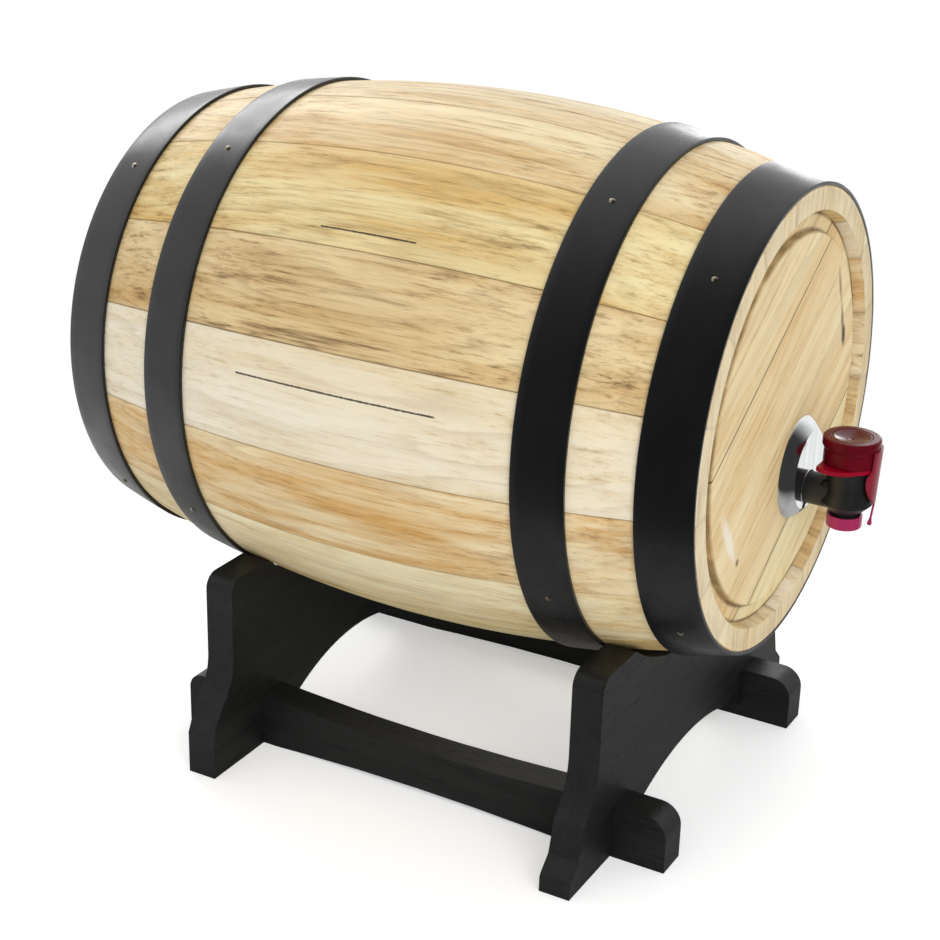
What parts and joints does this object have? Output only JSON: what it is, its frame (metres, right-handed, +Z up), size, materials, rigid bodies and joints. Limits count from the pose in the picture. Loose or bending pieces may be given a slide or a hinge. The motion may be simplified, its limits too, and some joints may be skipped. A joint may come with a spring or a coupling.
{
  "type": "cask drink dispenser",
  "caption": "Small staved oak cask on a black wooden cradle, with a push-button tap on its head, a wine bag inside and a lift-out rear lid to change it.",
  "frame": {"origin": "on the surface the stand rests on, below the middle of the whole object", "axes": "+Z up, +Y from the tap to the rear lid along the cask's axis, +X to the right of someone facing the tap"},
  "size_m": [0.276, 0.3896, 0.348],
  "materials": {
    "cask_wood": "clear satin varnish over pale streaked oak",
    "head_wood": "clear satin varnish over tan oak",
    "lid_wood": "clear satin varnish over plain oak",
    "dowel_wood": "bare hardwood",
    "stand_wood": "black stain with the grain showing",
    "hoop_steel": "satin black paint",
    "nail_brass": "dull plated nail heads",
    "plate_steel": "brushed, bare",
    "keeper_steel": "plain discs",
    "screw_steel": "bright zinc",
    "magnet_nickel": "bright nickel",
    "black_plastic": "black moulded plastic, slightly shiny",
    "cap_plastic": "dark wine red, soft gloss",
    "wing_plastic": "red, soft gloss",
    "dust_cap_plastic": "magenta, soft gloss",
    "spout_plastic": "natural white",
    "seal_rubber": "soft black rubber",
    "bag_film": "silvery film over wine"
  },
  "bodies": {
    "stand": {"front_cradle": "stand_wood", "rear_cradle": "stand_wood", "left_stretcher": "stand_wood", "right_stretcher": "stand_wood", "stand_screws": "screw_steel"},
    "cask": {"stave_01": "cask_wood", "stave_02": "cask_wood", "stave_03": "cask_wood", "stave_04": "cask_wood", "stave_05": "cask_wood", "stave_06": "cask_wood", "stave_07": "cask_wood", "stave_08": "cask_wood", "stave_09": "cask_wood", "stave_10": "cask_wood", "stave_11": "cask_wood", "stave_12": "cask_wood", "stave_13": "cask_wood", "stave_14": "cask_wood", "stave_15": "cask_wood", "stave_16": "cask_wood", "stave_17": "cask_wood", "front_chime_hoop": "hoop_steel", "front_bilge_hoop": "hoop_steel", "rear_bilge_hoop": "hoop_steel", "rear_chime_hoop": "hoop_steel", "hoop_nails": "nail_brass", "head_board_upper": "head_wood", "head_board_middle": "head_wood", "head_board_lower": "head_wood", "head_dowels": "dowel_wood", "spout": "spout_plastic", "gland_collar": "black_plastic", "collar_plate": "plate_steel", "wine_bag": "bag_film", "lid_stop_ring": "lid_wood", "lid_keepers": "keeper_steel"},
    "rear_lid": {"lid_board_upper": "lid_wood", "lid_board_middle": "lid_wood", "lid_board_lower": "lid_wood", "lid_batten_left": "lid_wood", "lid_batten_right": "lid_wood", "lid_magnets": "magnet_nickel", "lid_screws": "screw_steel"},
    "tap": {"tap_body": "black_plastic", "tap_cap": "cap_plastic", "finger_wings": "wing_plastic", "tamper_panel": "wing_plastic", "tear_tab": "dust_cap_plastic", "tube_ring_seal": "seal_rubber", "stem_seal": "seal_rubber", "return_dome": "seal_rubber"},
    "button": {"push_button": "cap_plastic", "valve_stem": "black_plastic", "valve_disc": "seal_rubber"},
    "dust_cap": {"dust_cap": "dust_cap_plastic"}
  },
  "joints": [
    {"name": "cask_lift", "type": "slide", "parent": "stand", "child": "cask", "axis": [0, 0, 1], "range_m": [0, 0.04]},
    {"name": "lid_pull", "type": "slide", "parent": "cask", "child": "rear_lid", "axis": [0, 1, 0], "range_m": [0, 0.05]},
    {"name": "tap_turn", "type": "hinge", "parent": "cask", "child": "tap", "pos_m": [0.0225, -0.17935, 0.169], "axis": [0, 1, 0], "range_deg": [-90, 90]},
    {"name": "button_press", "type": "slide", "parent": "tap", "child": "button", "axis": [0, 0, -1], "range_m": [0, 0.0035], "stiffness_N_per_m": 2500, "springref_m": -0.0012, "deforming": ["return_dome"]},
    {"name": "dust_cap_pull", "type": "slide", "parent": "tap", "child": "dust_cap", "axis": [0, 0, -1], "range_m": [0, 0.02]}
  ]
}
